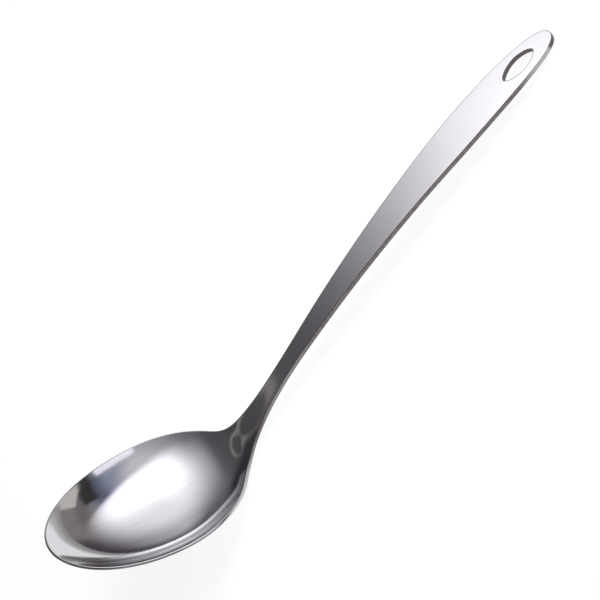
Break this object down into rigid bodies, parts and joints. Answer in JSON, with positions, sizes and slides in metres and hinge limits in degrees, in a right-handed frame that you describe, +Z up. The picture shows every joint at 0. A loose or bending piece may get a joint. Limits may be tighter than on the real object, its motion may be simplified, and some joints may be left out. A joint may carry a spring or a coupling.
{
  "type": "serving spoon",
  "caption": "One-piece stainless steel serving spoon: deep oval bowl, cranked neck, flared flat handle with an oval hanging hole.",
  "frame": {"origin": "centre of the bounding box in plan, on the table that the spoon rests on", "axes": "+Z up, +X from the bowl towards the handle's end, Y across the spoon; the spoon lies at rest on its belly and the end of its handle"},
  "size_m": [0.2948, 0.068, 0.0557],
  "materials": {
    "steel": "polished stainless steel with fine brushing"
  },
  "bodies": {
    "root": {"spoon": "steel"}
  },
  "joints": []
}
